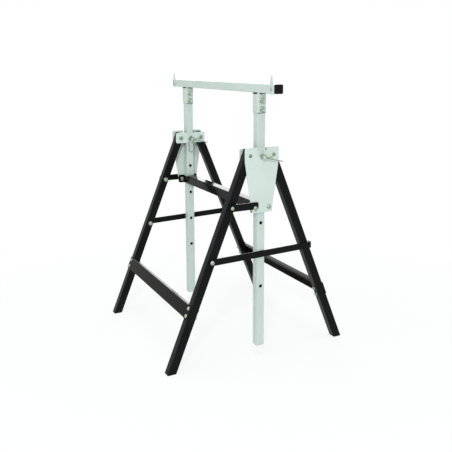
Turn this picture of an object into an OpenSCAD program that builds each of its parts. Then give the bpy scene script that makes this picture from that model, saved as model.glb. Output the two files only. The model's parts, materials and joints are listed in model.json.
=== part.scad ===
// Height-adjustable builders trestle: a beam on two sliding posts, carried by two folding A-frames.
// X runs along the beam, Y across it from the front legs to the rear legs, Z up from the floor.
// The A-frame at +X is the right one, the one at -X the left one.

/* [Tubes] */
// Side of every square tube
tube = 25; // [22:0.5:28]
// Wall of every square tube
tube_wall = 1.5; // [1:0.1:2.4]
// Outer corner radius of every square tube
tube_round = 2.5; // [1.5:0.1:4]

/* [Beam] */
// Length of the beam tube
beam_len = 702; // [640:1:820]
// Height of the beam's top face at the lowest setting
beam_top = 798; // [780:1:860]
// Thickness of the flange on a beam plug
plug_flange = 6; // [3:0.5:10]
// Length of a beam plug inside the tube
plug_depth = 20; // [10:1:40]
// Clearance all round a plastic plug inside its tube
plug_fit = 0.1; // [0.05:0.05:0.3]

/* [Stops] */
// Distance from the end of the beam tube to the middle of a stop
stop_inset = 11.5; // [9:0.5:40]
// Width of a stop where it lies on the beam
stop_w = 13; // [12:0.5:22]
// Width of a stop at its tip
stop_tip_w = 3; // [2:0.5:9]
// Height of a stop above the beam
stop_rise = 22; // [12:1:40]
// Length of a stop below the beam
stop_drop = 2; // [0:0.5:5]
// Thickness of a stop
stop_t = 2.5; // [1.5:0.5:4]
// Diameter of a stop's screw
screw_d = 5; // [4:0.5:6]
// Diameter of the screw's head
screw_head_d = 10; // [8:0.5:12]
// Height of the screw's head
screw_head_h = 2.5; // [1.5:0.25:3.5]

/* [Posts] */
// Distance from the end of the beam tube to the middle of a post
post_inset = 100; // [80:1:140]
// Height of a post's lower end at the lowest setting
post_bottom = 30; // [10:1:60]
// Gap between the beam and the top of a post, inside its sleeve
post_top_gap = 9; // [4:0.5:11]
// Diameter of the setting holes
hole_d = 10; // [9:0.25:12]
// Distance between the setting holes
hole_pitch = 95; // [70:1:100]
// Number of setting holes in a post
hole_count = 5; // [3:1:5]

/* [Sleeves] */
// Wall of the sleeve that joins a post to the beam
sleeve_wall = 2; // [1.5:0.25:4]
// Length of a sleeve
sleeve_len = 56; // [52:1:70]
// Height of the slots between the beam and a sleeve
sleeve_slot = 3.5; // [2:0.5:8]
// Width of the corner tab between a sleeve's two slots
sleeve_tab = 7.5; // [6.5:0.5:9]
// Clearance between a sleeve and its post
sleeve_fit = 0.2; // [0.1:0.05:0.4]
// Distance from the beam's underside to the upper sleeve bolt
sleeve_bolt_drop = 21; // [16:1:25]
// Distance between the two sleeve bolts
sleeve_bolt_pitch = 24; // [20:0.5:26]
// Height of the taper at the foot of a sleeve's front and rear walls
sleeve_taper = 6; // [2:0.5:12]
// Wall that the taper leaves at a sleeve's lower rim
sleeve_lip = 0.6; // [0.3:0.1:1.4]

/* [Brackets] */
// Distance from the beam's top face down to the leg pivots at the lowest setting
pivot_drop = 198; // [180:1:220]
// Distance between the front and rear leg pivots
pivot_spread = 75; // [72:1:86]
// Thickness of the bracket plates
plate_t = 2.5; // [1.5:0.25:4]
// Gap between a tube's side and a bracket plate
plate_gap = 2.5; // [2.2:0.1:4]
// Width of the bracket plates
plate_w = 108; // [104:1:130]
// Height of the plates above the pivots
plate_rise = 22.5; // [18:0.5:32]
// Distance from the pivots down to where the outer plate starts to taper
plate_shoulder = 18; // [12:1:40]
// Width of the outer plate at its lower end
plate_foot_w = 66; // [62:1:80]
// Length of the outer plate below the low bolts
plate_foot = 15; // [12:0.5:22]
// Height of the inner plate
inner_plate_h = 35.5; // [32:0.5:44]
// Distance of an inner plate's top edge below that of an outer plate
inner_drop = 5.5; // [2:0.5:8]
// Corner radius of the plates' upper corners
plate_round = 5; // [1:0.5:6]
// Corner radius of the outer plate's lower corners
plate_foot_round = 8; // [3:0.5:12]
// Width of the relief slits at the edges of the post
slit_w = 4; // [2:0.5:5]
// Depth of the relief slits in an outer plate
slit_depth = 8.5; // [7:0.5:10]
// Distance from the pivots down to the low bolts
low_drop = 149.5; // [140:0.5:165]

/* [Crossbar] */
// Height of the crossbar channel
bar_h = 27; // [22:1:32]
// Sheet thickness of the crossbar
bar_t = 2; // [1.2:0.1:2.1]
// Outer bend radius of the crossbar
bar_round = 3; // [2.2:0.1:5]
// Clearance between a post and the crossbar that guides it
post_clear = 0.4; // [0.3:0.05:0.6]
// Overall width across the crossbar's end tabs
tab_w = 70; // [70:1:84]
// Corner radius of the end tabs
tab_round = 4; // [1:0.5:6]

/* [Legs] */
// Distance between the front and rear feet, centre to centre at the floor
foot_spread = 563; // [480:1:640]
// Length of a leg above its pivot
leg_top = 15; // [12:1:18]
// Thickness of a foot plug under its leg
foot_t = 3; // [2:0.5:8]
// Height of a foot plug inside its leg
foot_plug = 18; // [10:1:40]

/* [Lower cross-members] */
// Distance along a leg from its pivot to the middle of the lower cross-member
cross_drop = 469; // [430:1:500]
// Height of a lower cross-member
cross_h = 40; // [36:1:60]
// Depth of a lower cross-member's flanges
cross_flange = 12; // [8:1:22]
// Sheet thickness of a lower cross-member
cross_t = 2; // [1.2:0.1:3]
// Bend radius of a lower cross-member
cross_round = 3; // [2:0.5:5]
// Distance between the two bolts at each leg
cross_bolt_pitch = 22; // [18:0.5:26]
// Gap between a flange's end and the leg beside it
cross_end_gap = 1; // [0.5:0.5:4]

/* [Straps] */
// Width of a hook strap
strap_w = 20; // [18:0.5:23]
// Thickness of a hook strap
strap_t = 3; // [2:0.25:5]
// Height of a strap's middle line above the low bolts
strap_lift = 7; // [5:0.5:8]
// Length of a strap past its hook bolt
strap_end = 10.5; // [9.5:0.5:16]
// Corner radius of a strap's hook end
strap_round = 5; // [2:0.5:7]
// Slope of the notch's leading side, in degrees from the strap's own square
strap_slope = 31; // [29:1:38]
// Diameter of the spacer between a leg and its strap
spacer_d = 12; // [11:0.5:16]

/* [Tie bars] */
// Distance from the pivots down to the tie bars' bolts
tie_drop = 292; // [250:1:340]
// Width of a tie bar
tie_w = 19; // [15:0.5:24]
// Thickness of a tie bar
tie_t = 3; // [2:0.25:5]
// Rise of a tie bar towards the rear, in degrees
tie_tilt = 1.6; // [0:0.1:3]
// Length of the lip that catches the rear leg
lip_len = 12; // [8:1:20]
// Gap between the lip and the rear leg
lip_gap = 0.4; // [0.3:0.1:1]

/* [Locking pins] */
// Diameter of a locking pin
pin_d = 9.4; // [8.4:0.2:9.6]
// Distance from the pivots down to the locking pins
pin_drop = 6; // [5:0.5:10]
// Length of a pin on the side of its tip, from the middle of the post
pin_tip = 21; // [19:0.5:26]
// Length of a pin on the side of its clip, from the middle of the post
pin_tail = 34; // [33:0.5:44]
// Chamfer on a pin's ends
pin_chamfer = 1.2; // [0.4:0.1:2]
// Gap between a pin and the notch that it lies in
notch_gap = 0.3; // [0.2:0.05:0.5]
// Distance from the middle of a clip's wire to the end of its pin
clip_inset = 5; // [3.5:0.5:6]
// Diameter of the clip's wire
clip_wire = 3; // [2:0.25:3.25]
// Length of the clip's straight leg past the pin
clip_len = 62; // [50:1:80]
// Angle of the clip below the horizontal
clip_droop = 13; // [0:1:40]
// Radius of the clip's eye
eye_r = 5; // [4.5:0.25:7]
// Distance from the pin back to the clip's eye
eye_back = 9; // [8:0.5:14]
// Distance past the pin at which the bent leg meets the straight one
over_len = 11; // [9:0.5:16]
// Gap between the clip's two legs there
over_gap = 0.4; // [0.3:0.1:1]
// Distance from the pin to the tip of the bent leg
flare_len = 26; // [20:1:40]
// Rise of the bent leg's tip
flare_rise = 5; // [2:0.5:10]
// Clearance between the clip's wire and its hole
clip_fit = 0.2; // [0.1:0.05:0.4]
// Distance from the middle of the post to the pull loop's wire
loop_x = 23; // [21.5:0.5:25]
// Diameter of the pull loop's wire
loop_wire = 2.5; // [1.5:0.25:3]
// Clear width inside the pull loop
loop_w = 15; // [13:0.5:22]
// Length of the pull loop below the pin
loop_drop = 46.5; // [35:0.5:60]
// Play between the pull loop and the pin that it hangs on
loop_fit = 0.3; // [0.1:0.05:0.5]

/* [Fasteners] */
// Diameter of the pivot, strap, tie, low and sleeve bolts
bolt_d = 8; // [7:0.5:8.5]
// Diameter of the tie and low bolts' heads
head_d = 13; // [12:0.5:15]
// Height of the tie, low and sleeve bolts' heads
head_h = 5; // [3.5:0.5:5.5]
// Diameter of the pivot and strap bolts' heads
small_head_d = 10.5; // [10:0.5:13]
// Height of the pivot and strap bolts' heads
small_head_h = 3.5; // [2.5:0.5:5]
// Height of the upright rim of a domed head
head_rim = 1; // [0.5:0.1:1.4]
// Diameter of the round flange under a sleeve bolt's head
flange_d = 17; // [15.5:0.5:19]
// Thickness of that flange
flange_h = 1.2; // [0.8:0.1:2]
// Width of their nuts across the flats
nut_w = 13; // [12:0.5:14]
// Height of their nuts
nut_h = 6.5; // [5:0.5:7]
// Gap between a low bolt's nut and the crossbar's wall
nut_clear = 0.6; // [0.4:0.1:2]
// Diameter of the washers between legs and plates
washer_d = 18; // [16:1:24]
// Diameter of the shoulder that a strap hooks over
shoulder_d = 9; // [8.6:0.2:10]
// Diameter of the cross-member bolts
cross_bolt_d = 6; // [5:0.5:7]
// Diameter of the cross-member bolts' heads
cross_head_d = 11; // [9:0.5:13]
// Height of the cross-member bolts' heads
cross_head_h = 3.5; // [2.5:0.5:5]
// Width of the cross-member nuts across the flats
cross_nut_w = 10; // [9:0.5:11]
// Height of the cross-member nuts
cross_nut_h = 5; // [4:0.5:6]
// Length of a bolt past its nut
bolt_past = 2; // [1:0.5:4]
// Running clearance round a bolt
bolt_fit = 0.05; // [0.02:0.01:0.1]
// Gap between a bolt's head and the piece that turns under it
turn_gap = 0.3; // [0.2:0.05:0.5]

/* [Hidden] */
$fn = 48;
half = tube / 2;
tube_bore = tube - 2 * tube_wall;
// Least radius of an inside corner
inside_round = 0.5;
bore_round = max(tube_round - tube_wall, inside_round);
// Distance that a cut runs past the face it leaves by
past = 1;
bore_reach = 2 * tube;
post_x = beam_len / 2 - post_inset;
beam_bottom = beam_top - tube;
pivot_z = beam_top - pivot_drop;
pivot_y = pivot_spread / 2;
pin_z = pivot_z - pin_drop;
low_z = pivot_z - low_drop;
splay = atan((foot_spread - pivot_spread) / 2 / pivot_z);
leg_reach = pivot_z / cos(splay) + tube;
// Bracket places, measured from the middle of the post
plate_in = half + plate_gap;
plate_out = plate_in + plate_t;
outer_top = pivot_z + plate_rise;
inner_top = outer_top - inner_drop;
// Crossbar channel, which wraps round the posts
bar_half = half + post_clear + bar_t;
bar_top = low_z + bar_h / 2;
nut_r = nut_w / sqrt(3);
low_y = bar_half + nut_r + nut_clear;
// Strap: its bolt lies on the leg's middle line, level with the strap
strap_in = plate_out + turn_gap;
strap_z = low_z + strap_lift;
strap_u = (pivot_z - strap_z) / cos(splay);
strap_y = -pivot_y - strap_u * sin(splay);
hook_y = -low_y - strap_y;
hook_r = shoulder_d / 2 + turn_gap;
// Tie bar: the lip's lower corner lies one gap off the rear leg's outer face
tie_in = half + turn_gap;
tie_u = tie_drop / cos(splay);
tie_y = -pivot_y - tie_u * sin(splay);
tie_z = pivot_z - tie_drop;
lip_off = [tie_y + tie_w / 2 * sin(tie_tilt) - pivot_y, -tie_drop - tie_w / 2 * cos(tie_tilt)];
lip_at = (half + lip_gap - lip_off[0] * cos(splay) - lip_off[1] * sin(splay)) / cos(splay - tie_tilt);
// Pin clip: an eye left of the pin and a bent leg that springs over it
clip_x = pin_tail - clip_inset;
over_rise = clip_wire + over_gap;
eye_step = 30;
over_steps = 8;
flare_steps = 4;
wire_sides = 8;
// Angle at which the round of a domed head meets its flat crown
crown = 60;
crown_step = 30;
loop_r = loop_w / 2 + loop_wire / 2;
loop_up = pin_d / 2 + loop_fit - loop_w / 2;

white = [0.84, 0.88, 0.86];
black = [0.10, 0.10, 0.10];
zinc = [0.70, 0.73, 0.68];
plastic = [0.06, 0.06, 0.06];

// Square with round corners, centred
module rounded_rect(size, radius) {
    square([size[0], size[1] - 2 * radius], center = true);
    square([size[0] - 2 * radius, size[1]], center = true);
    for (x = [-1, 1], y = [-1, 1])
        translate([x * (size[0] / 2 - radius), y * (size[1] / 2 - radius)]) circle(radius);
}

module tube_section() {
    difference() {
        rounded_rect([tube, tube], tube_round);
        rounded_rect([tube_bore, tube_bore], bore_round);
    }
}

// Raises a flat outline, drawn in Y and Z, along X
module along_x(start, length) {
    translate([start, 0, 0]) rotate([90, 0, 90]) linear_extrude(length) children();
}

// Draws right-hand pieces as they are and left-hand ones mirrored
module at_end(end) {
    if (end < 0) mirror([1, 0, 0]) children();
    else children();
}

module at_bracket(end) {
    at_end(end) translate([post_x, 0, 0]) children();
}

// Leg frame: the origin on the pivot, the leg hanging down -Z; side is -1 in front and 1 behind
module at_legs(side) {
    translate([0, side * pivot_y, pivot_z]) rotate([side * splay, 0, 0]) children();
}

module rod_x(from, to, d) {
    translate([from, 0, 0]) rotate([0, 90, 0]) cylinder(d = d, h = to - from);
}

module bore_x(d) {
    rod_x(-bore_reach, bore_reach, d);
}

// Half profile of a domed head, from its rim up to its flat crown
function dome(cap_d, cap_h) = [
    for (a = [0 : crown_step : crown])
        [cap_d / 2 * cos(a), head_rim + (cap_h - head_rim) * sin(a) / sin(crown)]
];

// Domed bolt along X, its head outward at the positive end
module dome_bolt(from, to, d, cap_d, cap_h) {
    rotate([0, 90, 0]) rotate_extrude() polygon(concat(
        [[0, from], [d / 2, from], [d / 2, to], [cap_d / 2, to]],
        [for (point = dome(cap_d, cap_h)) [point[0], to + point[1]]],
        [[0, to + cap_h]]
    ));
}

// Hexagon bolt along X with a round flange under its head
module hex_bolt(from, to, d, across, cap_h) {
    rod_x(from, to, d);
    rod_x(to, to + flange_h, flange_d);
    translate([to + flange_h, 0, 0]) rotate([0, 90, 0])
        cylinder(d = across * 2 / sqrt(3), h = cap_h, $fn = 6);
}

module hex_nut(from, height, across, d) {
    translate([from, 0, 0]) rotate([0, 90, 0]) difference() {
        cylinder(d = across * 2 / sqrt(3), h = height, $fn = 6);
        translate([0, 0, -past]) cylinder(d = d + 2 * bolt_fit, h = height + 2 * past);
    }
}

module beam() {
    color(white) difference() {
        translate([0, 0, beam_top - half]) along_x(-beam_len / 2, beam_len) tube_section();
        for (end = [-1, 1])
            translate([end * (beam_len / 2 - stop_inset), -half - past, beam_top - half])
                rotate([-90, 0, 0]) cylinder(d = screw_d + 2 * bolt_fit, h = tube_wall + 2 * past);
    }
}

module beam_plug(end) {
    insert = tube_bore - 2 * plug_fit;
    color(plastic) at_end(end) translate([beam_len / 2, 0, beam_top - half]) {
        along_x(0, plug_flange) rounded_rect([tube, tube], tube_round);
        difference() {
            along_x(-plug_depth, plug_depth) rounded_rect([insert, insert], bore_round);
            along_x(-plug_depth - past, plug_depth - past)
                rounded_rect([insert - 2 * tube_wall, insert - 2 * tube_wall], bore_round);
        }
    }
}

// Upright tab on the front face of the beam that keeps the load from sliding off
module stop(end) {
    tip = stop_rise - stop_tip_w / 2;
    color(white)
        translate([end * (beam_len / 2 - stop_inset), -half, beam_top]) rotate([90, 0, 0]) difference() {
            linear_extrude(stop_t) {
                polygon([
                    [-stop_w / 2, -tube - stop_drop], [stop_w / 2, -tube - stop_drop], [stop_w / 2, 0],
                    [stop_tip_w / 2, tip], [-stop_tip_w / 2, tip], [-stop_w / 2, 0]
                ]);
                translate([0, tip]) circle(d = stop_tip_w);
            }
            translate([0, -half, -past]) cylinder(d = screw_d + 2 * bolt_fit, h = stop_t + 2 * past);
        }
}

module stop_screws() {
    color(zinc) for (end = [-1, 1])
        translate([end * (beam_len / 2 - stop_inset), -half, beam_top - half]) rotate([0, 0, -90])
            dome_bolt(-tube_wall, stop_t, screw_d, screw_head_d, screw_head_h);
}

module post(end) {
    length = beam_bottom - post_top_gap - post_bottom;
    color(white) translate([end * post_x, 0, 0]) difference() {
        translate([0, 0, post_bottom]) linear_extrude(length) tube_section();
        for (k = [0 : hole_count - 1])
            translate([0, 0, pin_z - k * hole_pitch]) bore_x(hole_d);
        for (k = [0, 1])
            translate([0, 0, beam_bottom - sleeve_bolt_drop - k * sleeve_bolt_pitch])
                bore_x(bolt_d + 2 * bolt_fit);
    }
}

// Keys that fill the pin notches of the bracket plates and rise out of them with their post
module post_keys(end) {
    color(white) translate([end * post_x, 0, 0]) difference() {
        at_end(end) {
            translate([half, -pin_d / 2, pin_z]) cube([plate_out - half, pin_d, outer_top - pin_z]);
            translate([-plate_out, -pin_d / 2, pin_z]) cube([plate_out - half, pin_d, inner_top - pin_z]);
        }
        translate([0, 0, pin_z]) bore_x(hole_d);
    }
}

// Sleeve round the top of a post, slotted under the beam in its front wall and in the wall towards +X
module sleeve(end) {
    bore = tube + 2 * sleeve_fit;
    side = bore + 2 * sleeve_wall;
    rim = beam_bottom - sleeve_len;
    rim_y = bore / 2 + sleeve_lip;
    color(white) translate([end * post_x, 0, 0]) difference() {
        translate([0, 0, rim]) linear_extrude(sleeve_len) difference() {
            rounded_rect([side, side], tube_round + sleeve_wall);
            rounded_rect([bore, bore], tube_round);
        }
        translate([-bore / 2, -side, beam_bottom - sleeve_slot]) cube([bore, side, sleeve_slot + past]);
        translate([0, sleeve_tab - side / 2, beam_bottom - sleeve_slot])
            cube([side, side / 2 + bore / 2 - sleeve_tab, sleeve_slot + past]);
        for (k = [0, 1])
            translate([0, 0, beam_bottom - sleeve_bolt_drop - k * sleeve_bolt_pitch])
                bore_x(bolt_d + 2 * bolt_fit);
        for (turn = [0, 180])
            rotate([0, 0, turn]) along_x(-side, 2 * side) polygon([
                [rim_y, rim], [side / 2, rim + sleeve_taper], [side, rim + sleeve_taper],
                [side, rim - past], [rim_y, rim - past]
            ]);
    }
}

module at_sleeve_bolts() {
    for (end = [-1, 1], k = [0, 1])
        translate([end * post_x, 0, beam_bottom - sleeve_bolt_drop - k * sleeve_bolt_pitch]) children();
}

module sleeve_bolts() {
    face = half + sleeve_fit + sleeve_wall;
    color(zinc) at_sleeve_bolts()
        hex_bolt(-face - nut_h - bolt_past, face, bolt_d, nut_w, head_h);
}

module sleeve_nuts() {
    face = half + sleeve_fit + sleeve_wall;
    color(zinc) at_sleeve_bolts() hex_nut(-face - nut_h, nut_h, nut_w, bolt_d);
}

// Open notch that a locking pin drops into, with a relief slit on each side of the post
module plate_cuts() {
    notch_d = pin_d + 2 * notch_gap;
    translate([0, pin_z]) circle(d = notch_d);
    translate([-notch_d / 2, pin_z]) square([notch_d, outer_top - pin_z + past]);
    for (side = [-1, 1])
        translate([side * half - slit_w / 2, outer_top - slit_depth]) square([slit_w, slit_depth + past]);
    for (side = [-1, 1])
        translate([side * pivot_y, pivot_z]) circle(d = bolt_d + 2 * bolt_fit);
}

module outer_plate(end) {
    top = outer_top - plate_round;
    color(white) at_bracket(end) along_x(plate_in, plate_t) difference() {
        hull() for (side = [-1, 1]) {
            translate([side * (plate_w / 2 - plate_round), top]) circle(plate_round, $fn = 32);
            translate([side * (plate_w / 2 - plate_round), pivot_z - plate_shoulder])
                circle(plate_round, $fn = 32);
            translate([side * (plate_foot_w / 2 - plate_foot_round), low_z - plate_foot + plate_foot_round])
                circle(plate_foot_round, $fn = 32);
        }
        plate_cuts();
        for (side = [-1, 1])
            translate([side * low_y, low_z]) circle(d = bolt_d + 2 * bolt_fit);
    }
}

module inner_plate(end) {
    color(white) at_bracket(end) along_x(-plate_out, plate_t) difference() {
        translate([0, inner_top - inner_plate_h / 2])
            rounded_rect([plate_w, inner_plate_h], plate_round);
        plate_cuts();
    }
}

// Upside-down channel between the brackets; its walls pass the posts and turn out into bolted tabs
module crossbar() {
    reach = post_x + plate_in;
    mouth = post_x - half - post_clear;
    color(black) {
        difference() {
            along_x(-reach, 2 * reach) translate([0, bar_top - bar_h]) difference() {
                translate([-bar_half, 0]) square([2 * bar_half, bar_h - bar_round]);
                translate([-bar_half + bar_t, -past]) square([2 * (bar_half - bar_t), bar_h]);
            }
            for (end = [-1, 1], side = [-1, 1])
                translate([end * post_x, side * low_y, low_z]) bore_x(bolt_d + 2 * bolt_fit);
        }
        along_x(-mouth, 2 * mouth) translate([0, bar_top - bar_h]) difference() {
            translate([0, bar_h - bar_half]) rounded_rect([2 * bar_half, 2 * bar_half], bar_round);
            translate([-bar_half - past, -2 * bar_half])
                square([2 * (bar_half + past), 2 * bar_half + bar_h - bar_round]);
            translate([-bar_half + bar_t, 0]) square([2 * (bar_half - bar_t), bar_h - bar_t]);
        }
        for (end = [-1, 1]) at_bracket(end) crossbar_tabs();
    }
}

module crossbar_tabs() {
    wing = tab_w / 2 - bar_half + bar_t;
    for (side = [-1, 1])
        along_x(plate_in - bar_t, bar_t) difference() {
            union() {
                translate([side * (bar_half - bar_t + wing / 2), low_z])
                    rounded_rect([wing, bar_h], tab_round);
                translate([side * (bar_half - bar_t + wing / 4) - wing / 4, low_z - bar_h / 2])
                    square([wing / 2, bar_h]);
            }
            translate([side * low_y, low_z]) circle(d = bolt_d + 2 * bolt_fit);
        }
}

module at_pivots() {
    for (end = [-1, 1], side = [-1, 1])
        at_bracket(end) translate([0, side * pivot_y, pivot_z]) children();
}

module pivot_bolts() {
    color(zinc) at_pivots()
        dome_bolt(-plate_out - nut_h - bolt_past, plate_out, bolt_d, small_head_d, small_head_h);
}

module pivot_nuts() {
    color(zinc) at_pivots() hex_nut(-plate_out - nut_h, nut_h, nut_w, bolt_d);
}

module pivot_washers() {
    color(zinc) at_pivots() for (start = [half, -plate_in])
        difference() {
            rod_x(start, start + plate_gap, washer_d);
            bore_x(bolt_d + 2 * bolt_fit);
        }
}

module at_low_bolts(side) {
    for (end = [-1, 1]) at_bracket(end) translate([0, side * low_y, low_z]) children();
}

// Shoulder bolts in front, which the straps hook over
module hook_bolts() {
    color(zinc) at_low_bolts(-1) {
        rod_x(plate_in - bar_t - nut_h - bolt_past, plate_out, bolt_d);
        dome_bolt(plate_out, strap_in + strap_t + turn_gap, shoulder_d, head_d, head_h);
    }
}

module plate_bolts() {
    color(zinc) at_low_bolts(1)
        dome_bolt(plate_in - bar_t - nut_h - bolt_past, plate_out, bolt_d, head_d, head_h);
}

module low_nuts() {
    color(zinc) for (side = [-1, 1]) at_low_bolts(side)
        hex_nut(plate_in - bar_t - nut_h, nut_h, nut_w, bolt_d);
}

// Everything above a level, as wide as the whole trestle
module above(level, height) {
    translate([-beam_len, -foot_spread, level]) cube([2 * beam_len, 2 * foot_spread, height]);
}

module leg(side, end) {
    color(black) intersection() {
        at_legs(side) translate([end * post_x, 0, 0]) difference() {
            translate([0, 0, -leg_reach]) linear_extrude(leg_reach + leg_top) tube_section();
            bore_x(bolt_d + 2 * bolt_fit);
            for (k = [-1, 1])
                translate([0, 0, -cross_drop - k * cross_bolt_pitch / 2]) rotate([0, 0, 90])
                    bore_x(cross_bolt_d + 2 * bolt_fit);
            if (side < 0)
                for (u = [strap_u, tie_u]) translate([0, 0, -u]) bore_x(bolt_d + 2 * bolt_fit);
        }
        above(foot_t, 2 * pivot_z);
    }
}

module foot(side, end) {
    insert = tube_bore - 2 * plug_fit;
    color(plastic) {
        intersection() {
            at_legs(side) translate([end * post_x, 0, -leg_reach])
                linear_extrude(leg_reach) rounded_rect([tube, tube], tube_round);
            above(0, foot_t);
        }
        intersection() {
            at_legs(side) translate([end * post_x, 0, -leg_reach])
                linear_extrude(leg_reach) rounded_rect([insert, insert], bore_round);
            above(foot_t, foot_plug);
        }
    }
}

// Channel on the outer faces of two legs; its flanges turn in between them
module cross_member(side) {
    reach = post_x + half;
    inside = post_x - half - cross_end_gap;
    color(black) at_legs(side) translate([0, side * half, -cross_drop]) difference() {
        union() {
            along_x(-reach, 2 * reach) translate([side * cross_t / 2, 0])
                square([cross_t, cross_h - 2 * cross_round], center = true);
            along_x(-inside, 2 * inside) cross_section(side);
            for (end = [-1, 1])
                along_x(end < 0 ? -reach : inside, reach - inside) translate([side * cross_t / 2, 0])
                    square([cross_t, cross_h], center = true);
        }
        for (end = [-1, 1], k = [-1, 1])
            translate([end * post_x, 0, k * cross_bolt_pitch / 2]) rotate([0, 0, 90])
                bore_x(cross_bolt_d + 2 * bolt_fit);
    }
}

module cross_section(side) {
    depth = cross_flange;
    bend = max(cross_round - cross_t, inside_round);
    intersection() {
        translate([side * cross_t - side * depth, 0]) difference() {
            rounded_rect([2 * depth, cross_h], cross_round);
            rounded_rect([2 * (depth - cross_t), cross_h - 2 * cross_t], bend);
        }
        translate([side * cross_t - side * depth / 2, 0]) square([depth, cross_h + past], center = true);
    }
}

module at_cross_bolts(side) {
    at_legs(side) for (end = [-1, 1], k = [-1, 1])
        translate([end * post_x, 0, -cross_drop - k * cross_bolt_pitch / 2])
            rotate([0, 0, side * 90]) children();
}

module cross_bolts(side) {
    under_head = half + cross_t;
    color(zinc) at_cross_bolts(side)
        dome_bolt(-half - cross_nut_h - bolt_past, under_head, cross_bolt_d, cross_head_d, cross_head_h);
}

module cross_nuts(side) {
    color(zinc) at_cross_bolts(side) hex_nut(-half - cross_nut_h, cross_nut_h, cross_nut_w, cross_bolt_d);
}

// Flat strap that turns on a front leg and hooks over the bracket's shoulder bolt
module strap(end) {
    length = hook_y + strap_end;
    mouth = strap_w;
    color(black) at_bracket(end) translate([0, strap_y, strap_z]) along_x(strap_in, strap_t) difference() {
        union() {
            circle(d = strap_w);
            translate([0, -strap_w / 2]) square([length / 2, strap_w]);
            translate([length / 2, 0]) rounded_rect([length, strap_w], strap_round);
        }
        circle(d = bolt_d + 2 * bolt_fit);
        translate([hook_y, -strap_lift]) {
            circle(hook_r);
            polygon([
                [hook_r, 0], [-hook_r, 0], [-hook_r - mouth * tan(strap_slope), -mouth], [hook_r, -mouth]
            ]);
        }
    }
}

module at_strap_bolts() {
    for (end = [-1, 1]) at_bracket(end) translate([0, strap_y, strap_z]) children();
}

module strap_bolts() {
    under_head = strap_in + strap_t + turn_gap;
    color(zinc) at_strap_bolts()
        dome_bolt(-half - nut_h - bolt_past, under_head, bolt_d, small_head_d, small_head_h);
}

module strap_nuts() {
    color(zinc) at_strap_bolts() hex_nut(-half - nut_h, nut_h, nut_w, bolt_d);
}

module strap_spacers() {
    color(zinc) at_strap_bolts() difference() {
        rod_x(half, strap_in - turn_gap, spacer_d);
        bore_x(bolt_d + 2 * bolt_fit);
    }
}

// Flat bar that turns on a front leg and holds the rear leg in with a bent lip
module tie_bar(end) {
    color(black) at_bracket(end) translate([tie_in, tie_y, tie_z]) rotate([tie_tilt, 0, 0]) {
        along_x(0, tie_t) difference() {
            union() {
                circle(d = tie_w);
                translate([0, -tie_w / 2]) square([lip_at, tie_w]);
            }
            circle(d = bolt_d + 2 * bolt_fit);
        }
        translate([0, lip_at, -tie_w / 2]) rotate_extrude(angle = 90) square([tie_t, tie_w]);
        translate([-lip_len, lip_at, -tie_w / 2]) cube([lip_len, tie_t, tie_w]);
    }
}

module at_tie_bolts() {
    for (end = [-1, 1]) at_bracket(end) translate([0, tie_y, tie_z]) children();
}

module tie_bolts() {
    color(zinc) at_tie_bolts()
        dome_bolt(-half - nut_h - bolt_past, tie_in + tie_t + turn_gap, bolt_d, head_d, head_h);
}

module tie_nuts() {
    color(zinc) at_tie_bolts() hex_nut(-half - nut_h, nut_h, nut_w, bolt_d);
}

module at_pin(end) {
    translate([end * post_x, 0, pin_z]) children();
}

module pin(end) {
    color(zinc) at_pin(end) difference() {
        rotate([0, 90, 0]) rotate_extrude() polygon([
            [0, -pin_tip], [pin_d / 2 - pin_chamfer, -pin_tip], [pin_d / 2, pin_chamfer - pin_tip],
            [pin_d / 2, pin_tail - pin_chamfer], [pin_d / 2 - pin_chamfer, pin_tail], [0, pin_tail]
        ]);
        translate([clip_x, 0, 0]) rotate([-clip_droop, 0, 0]) rotate([90, 0, 0])
            cylinder(d = clip_wire + 2 * clip_fit, h = 2 * pin_d, center = true);
    }
}

// Middle line of a clip: straight leg, eye, then the bent leg that springs over the pin
function clip_path() = concat(
    [for (s = [clip_len, clip_len / 2, clip_wire, -eye_back]) [s, 0]],
    [for (a = [eye_step - 90 : eye_step : 90 - eye_step])
        [-eye_back - eye_r * cos(a), eye_r + eye_r * sin(a)]],
    [for (k = [0 : over_steps]) let (t = k / over_steps, mid = over_rise / 2)
        [t * (over_len + eye_back) - eye_back, eye_r + mid + (eye_r - mid) * cos(180 * t)]],
    [for (k = [1 : flare_steps]) let (t = k / flare_steps)
        [over_len + (flare_len - over_len) * t, over_rise + flare_rise * (1 - cos(90 * t))]]
);

// Rings of a round wire swept along a flat path; each ring stands square to the path there
function wire_rings(path, r) = [
    for (i = [0 : len(path) - 1])
        let (
            before = path[max(i - 1, 0)],
            after = path[min(i + 1, len(path) - 1)],
            way = (after - before) / norm(after - before)
        )
        for (k = [0 : wire_sides - 1])
            let (a = 360 * k / wire_sides)
            [r * sin(a), path[i][0] - way[1] * r * cos(a), path[i][1] + way[0] * r * cos(a)]
];

module swept_wire(path, r) {
    sides = wire_sides;
    last = (len(path) - 1) * sides;
    polyhedron(
        wire_rings(path, r),
        concat(
            [[for (k = [0 : sides - 1]) k]],
            [for (i = [0 : sides : last - sides], k = [0 : sides - 1]) let (n = (k + 1) % sides)
                each [[i + k, i + sides + k, i + n], [i + n, i + sides + k, i + sides + n]]],
            [[for (k = [sides - 1 : -1 : 0]) last + k]]
        )
    );
}

module clip(end) {
    color(zinc) at_pin(end) translate([clip_x, 0, 0]) rotate([-clip_droop, 0, 0])
        swept_wire(clip_path(), clip_wire / 2);
}

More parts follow.
